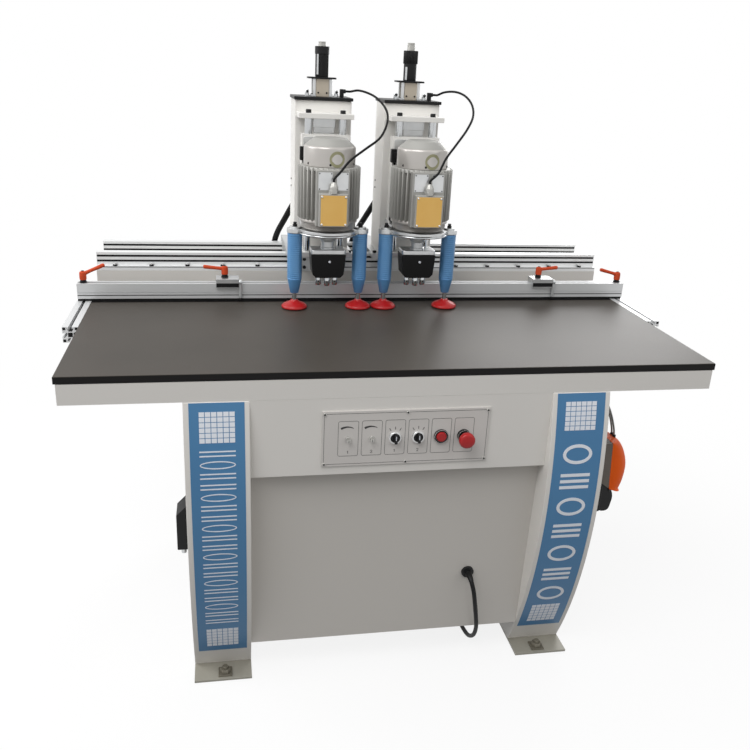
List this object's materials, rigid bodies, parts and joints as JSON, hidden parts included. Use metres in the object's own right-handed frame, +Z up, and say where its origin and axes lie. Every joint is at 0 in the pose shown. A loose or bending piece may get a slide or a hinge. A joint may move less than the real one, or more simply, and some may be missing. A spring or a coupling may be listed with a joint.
{
  "type": "hinge boring machine",
  "caption": "Floor-standing hinge boring machine: drill columns sliding on rails behind a worktable, hold-down feet, fence with flip stops, front controls and a foot pedal.",
  "frame": {"origin": "centre of the machine's footprint box, on the floor", "axes": "+X to the operator's right along the table, +Y from the operator to the columns, +Z up"},
  "size_m": [1.5766, 0.9885, 1.5146],
  "materials": {
    "white_paint": "smooth satin powder coat",
    "table_laminate": "dark matt laminate on board",
    "anodised_aluminium": "natural anodised, fine extrusion lines",
    "steel": "machined",
    "chrome": "polished",
    "black_plastic": "matt",
    "black_paint": "satin black",
    "cast_aluminium": "die cast, painted grey",
    "blue_anodised": "blue anodised, fine turned ridges",
    "red_plastic": "glossy",
    "orange_plastic": "glossy",
    "plate_grey": "satin",
    "cord_rubber": "matt black jacket"
  },
  "bodies": {
    "base": {"left_leg": "white_paint", "right_leg": "white_paint", "machine_frame": "white_paint", "table_top": "table_laminate", "front_rail": "anodised_aluminium", "rear_rail": "anodised_aluminium", "front_panel": "white_paint", "control_plate": "plate_grey", "left_side_profile": "anodised_aluminium", "right_side_profile": "anodised_aluminium", "pedal_housing": "orange_plastic", "mains_lead": "cord_rubber", "mains_coil": "cord_rubber", "mains_plug": "black_plastic"},
    "left_speed_knob": {"left_speed_knob": "black_plastic"},
    "right_speed_knob": {"right_speed_knob": "black_plastic"},
    "left_selector": {"left_selector": "black_plastic"},
    "right_selector": {"right_selector": "black_plastic"},
    "stop_button": {"stop_button": "red_plastic"},
    "emergency_stop": {"emergency_stop": "red_plastic"},
    "pedal_treadle": {"pedal_treadle": "black_plastic"},
    "fence": {"fence": "anodised_aluminium"},
    "left_fence_lever": {"left_fence_lever": "orange_plastic"},
    "right_fence_lever": {"right_fence_lever": "orange_plastic"},
    "left_stop_block": {"left_stop_block": "anodised_aluminium"},
    "left_stop_finger": {"left_stop_finger": "steel"},
    "left_stop_lever": {"left_stop_lever": "orange_plastic"},
    "right_stop_block": {"right_stop_block": "anodised_aluminium"},
    "right_stop_finger": {"right_stop_finger": "steel"},
    "right_stop_lever": {"right_stop_lever": "orange_plastic"},
    "left_carriage": {"left_column": "white_paint", "left_column_cap": "black_paint", "left_slide_guides": "steel", "left_motor_cable": "cord_rubber"},
    "left_drill_head": {"left_motor_slide": "white_paint", "left_motor": "cast_aluminium", "left_fan_cowl": "cast_aluminium", "left_clamp_unit": "blue_anodised", "left_gearbox": "black_paint"},
    "left_depth_sleeve": {"left_depth_sleeve": "black_plastic"},
    "left_inner_clamp_foot": {"left_inner_clamp_foot": "red_plastic"},
    "left_outer_clamp_foot": {"left_outer_clamp_foot": "red_plastic"},
    "left_centre_chuck": {"left_centre_chuck": "chrome"},
    "left_left_chuck": {"left_left_chuck": "chrome"},
    "left_right_chuck": {"left_right_chuck": "chrome"},
    "right_carriage": {"right_column": "white_paint", "right_column_cap": "black_paint", "right_slide_guides": "steel", "right_motor_cable": "cord_rubber"},
    "right_drill_head": {"right_motor_slide": "white_paint", "right_motor": "cast_aluminium", "right_fan_cowl": "cast_aluminium", "right_clamp_unit": "blue_anodised", "right_gearbox": "black_paint"},
    "right_depth_sleeve": {"right_depth_sleeve": "black_plastic"},
    "right_inner_clamp_foot": {"right_inner_clamp_foot": "red_plastic"},
    "right_outer_clamp_foot": {"right_outer_clamp_foot": "red_plastic"},
    "right_centre_chuck": {"right_centre_chuck": "chrome"},
    "right_left_chuck": {"right_left_chuck": "chrome"},
    "right_right_chuck": {"right_right_chuck": "chrome"}
  },
  "joints": [
    {"name": "left_speed_knob_turn", "type": "hinge", "parent": "base", "child": "left_speed_knob", "pos_m": [-0.13, -0.45415, 0.671], "axis": [0, -1, 0], "range_deg": [-135, 135]},
    {"name": "right_speed_knob_turn", "type": "hinge", "parent": "base", "child": "right_speed_knob", "pos_m": [-0.076, -0.45415, 0.671], "axis": [0, -1, 0], "range_deg": [-135, 135]},
    {"name": "left_selector_turn", "type": "hinge", "parent": "base", "child": "left_selector", "pos_m": [-0.022, -0.45415, 0.671], "axis": [0, -1, 0], "range_deg": [-45, 45]},
    {"name": "right_selector_turn", "type": "hinge", "parent": "base", "child": "right_selector", "pos_m": [0.032, -0.45415, 0.671], "axis": [0, -1, 0], "range_deg": [-45, 45]},
    {"name": "stop_button_press", "type": "slide", "parent": "base", "child": "stop_button", "axis": [0, 1, 0], "range_m": [0, 0.004], "stiffness_N_per_m": 400, "springref_m": -0.003},
    {"name": "emergency_stop_press", "type": "slide", "parent": "base", "child": "emergency_stop", "axis": [0, 1, 0], "range_m": [0, 0.006], "stiffness_N_per_m": 900, "springref_m": -0.004},
    {"name": "treadle_press", "type": "hinge", "parent": "base", "child": "pedal_treadle", "pos_m": [0.5833, -0.29085, 0.397], "axis": [0, -1, 0], "range_deg": [0, 6], "stiffness_Nm_per_rad": 3, "springref_deg": -11.46},
    {"name": "fence_shift", "type": "slide", "parent": "base", "child": "fence", "axis": [0, 1, 0], "range_m": [-0.025, 0.025]},
    {"name": "left_fence_lever_turn", "type": "hinge", "parent": "fence", "child": "left_fence_lever", "pos_m": [-0.7693, 0.13715, 0.9], "axis": [0, 0, -1], "range_deg": [0, 60]},
    {"name": "right_fence_lever_turn", "type": "hinge", "parent": "fence", "child": "right_fence_lever", "pos_m": [0.7693, 0.13715, 0.9], "axis": [0, 0, 1], "range_deg": [0, 60]},
    {"name": "left_stop_shift", "type": "slide", "parent": "fence", "child": "left_stop_block", "axis": [1, 0, 0], "range_m": [-0.2, 0.15]},
    {"name": "left_stop_finger_flip", "type": "hinge", "parent": "left_stop_block", "child": "left_stop_finger", "pos_m": [-0.3532, 0.11585, 0.8886], "axis": [-1, 0, 0], "range_deg": [0, 110]},
    {"name": "left_stop_lever_turn", "type": "hinge", "parent": "left_stop_block", "child": "left_stop_lever", "pos_m": [-0.395, 0.13715, 0.915], "axis": [0, 0, 1], "range_deg": [0, 60]},
    {"name": "right_stop_shift", "type": "slide", "parent": "fence", "child": "right_stop_block", "axis": [1, 0, 0], "range_m": [-0.25, 0.08]},
    {"name": "right_stop_finger_flip", "type": "hinge", "parent": "right_stop_block", "child": "right_stop_finger", "pos_m": [0.5598, 0.11585, 0.8886], "axis": [-1, 0, 0], "range_deg": [0, 110]},
    {"name": "right_stop_lever_turn", "type": "hinge", "parent": "right_stop_block", "child": "right_stop_lever", "pos_m": [0.518, 0.13715, 0.915], "axis": [0, 0, -1], "range_deg": [0, 60]},
    {"name": "left_carriage_shift", "type": "slide", "parent": "base", "child": "left_carriage", "axis": [1, 0, 0], "range_m": [-0.5, 0]},
    {"name": "left_depth_sleeve_turn", "type": "hinge", "parent": "left_carriage", "child": "left_depth_sleeve", "pos_m": [-0.123, 0.26215, 1.46], "axis": [0, 0, 1], "range_deg": [-180, 180]},
    {"name": "left_head_stroke", "type": "slide", "parent": "left_carriage", "child": "left_drill_head", "axis": [0, 0, 1], "range_m": [-0.017, 0.035], "deforming": ["left_motor_cable"]},
    {"name": "left_inner_foot_slide", "type": "slide", "parent": "left_drill_head", "child": "left_inner_clamp_foot", "axis": [0, 0, -1], "range_m": [-0.017, 0.035]},
    {"name": "left_outer_foot_slide", "type": "slide", "parent": "left_drill_head", "child": "left_outer_clamp_foot", "axis": [0, 0, -1], "range_m": [-0.017, 0.035]},
    {"name": "left_centre_chuck_spin", "type": "hinge", "parent": "left_drill_head", "child": "left_centre_chuck", "pos_m": [-0.123, 0.04915, 0.91], "axis": [0, 0, 1], "continuous": true},
    {"name": "left_left_chuck_spin", "type": "hinge", "parent": "left_drill_head", "child": "left_left_chuck", "pos_m": [-0.1455, 0.05865, 0.91], "axis": [0, 0, 1], "continuous": true},
    {"name": "left_right_chuck_spin", "type": "hinge", "parent": "left_drill_head", "child": "left_right_chuck", "pos_m": [-0.1005, 0.05865, 0.91], "axis": [0, 0, 1], "continuous": true},
    {"name": "right_carriage_shift", "type": "slide", "parent": "base", "child": "right_carriage", "axis": [1, 0, 0], "range_m": [0, 0.5]},
    {"name": "right_depth_sleeve_turn", "type": "hinge", "parent": "right_carriage", "child": "right_depth_sleeve", "pos_m": [0.123, 0.26215, 1.46], "axis": [0, 0, 1], "range_deg": [-180, 180]},
    {"name": "right_head_stroke", "type": "slide", "parent": "right_carriage", "child": "right_drill_head", "axis": [0, 0, 1], "range_m": [-0.017, 0.035], "deforming": ["right_motor_cable"]},
    {"name": "right_inner_foot_slide", "type": "slide", "parent": "right_drill_head", "child": "right_inner_clamp_foot", "axis": [0, 0, -1], "range_m": [-0.017, 0.035]},
    {"name": "right_outer_foot_slide", "type": "slide", "parent": "right_drill_head", "child": "right_outer_clamp_foot", "axis": [0, 0, -1], "range_m": [-0.017, 0.035]},
    {"name": "right_centre_chuck_spin", "type": "hinge", "parent": "right_drill_head", "child": "right_centre_chuck", "pos_m": [0.123, 0.04915, 0.91], "axis": [0, 0, 1], "continuous": true},
    {"name": "right_left_chuck_spin", "type": "hinge", "parent": "right_drill_head", "child": "right_left_chuck", "pos_m": [0.1005, 0.05865, 0.91], "axis": [0, 0, 1], "continuous": true},
    {"name": "right_right_chuck_spin", "type": "hinge", "parent": "right_drill_head", "child": "right_right_chuck", "pos_m": [0.1455, 0.05865, 0.91], "axis": [0, 0, 1], "continuous": true}
  ],
  "couplings": [
    {"joint": "left_inner_foot_slide", "follows": "left_head_stroke", "ratio": 1},
    {"joint": "left_outer_foot_slide", "follows": "left_head_stroke", "ratio": 1},
    {"joint": "left_left_chuck_spin", "follows": "left_centre_chuck_spin", "ratio": -1},
    {"joint": "left_right_chuck_spin", "follows": "left_centre_chuck_spin", "ratio": -1},
    {"joint": "right_inner_foot_slide", "follows": "right_head_stroke", "ratio": 1},
    {"joint": "right_outer_foot_slide", "follows": "right_head_stroke", "ratio": 1},
    {"joint": "right_left_chuck_spin", "follows": "right_centre_chuck_spin", "ratio": -1},
    {"joint": "right_right_chuck_spin", "follows": "right_centre_chuck_spin", "ratio": -1}
  ]
}
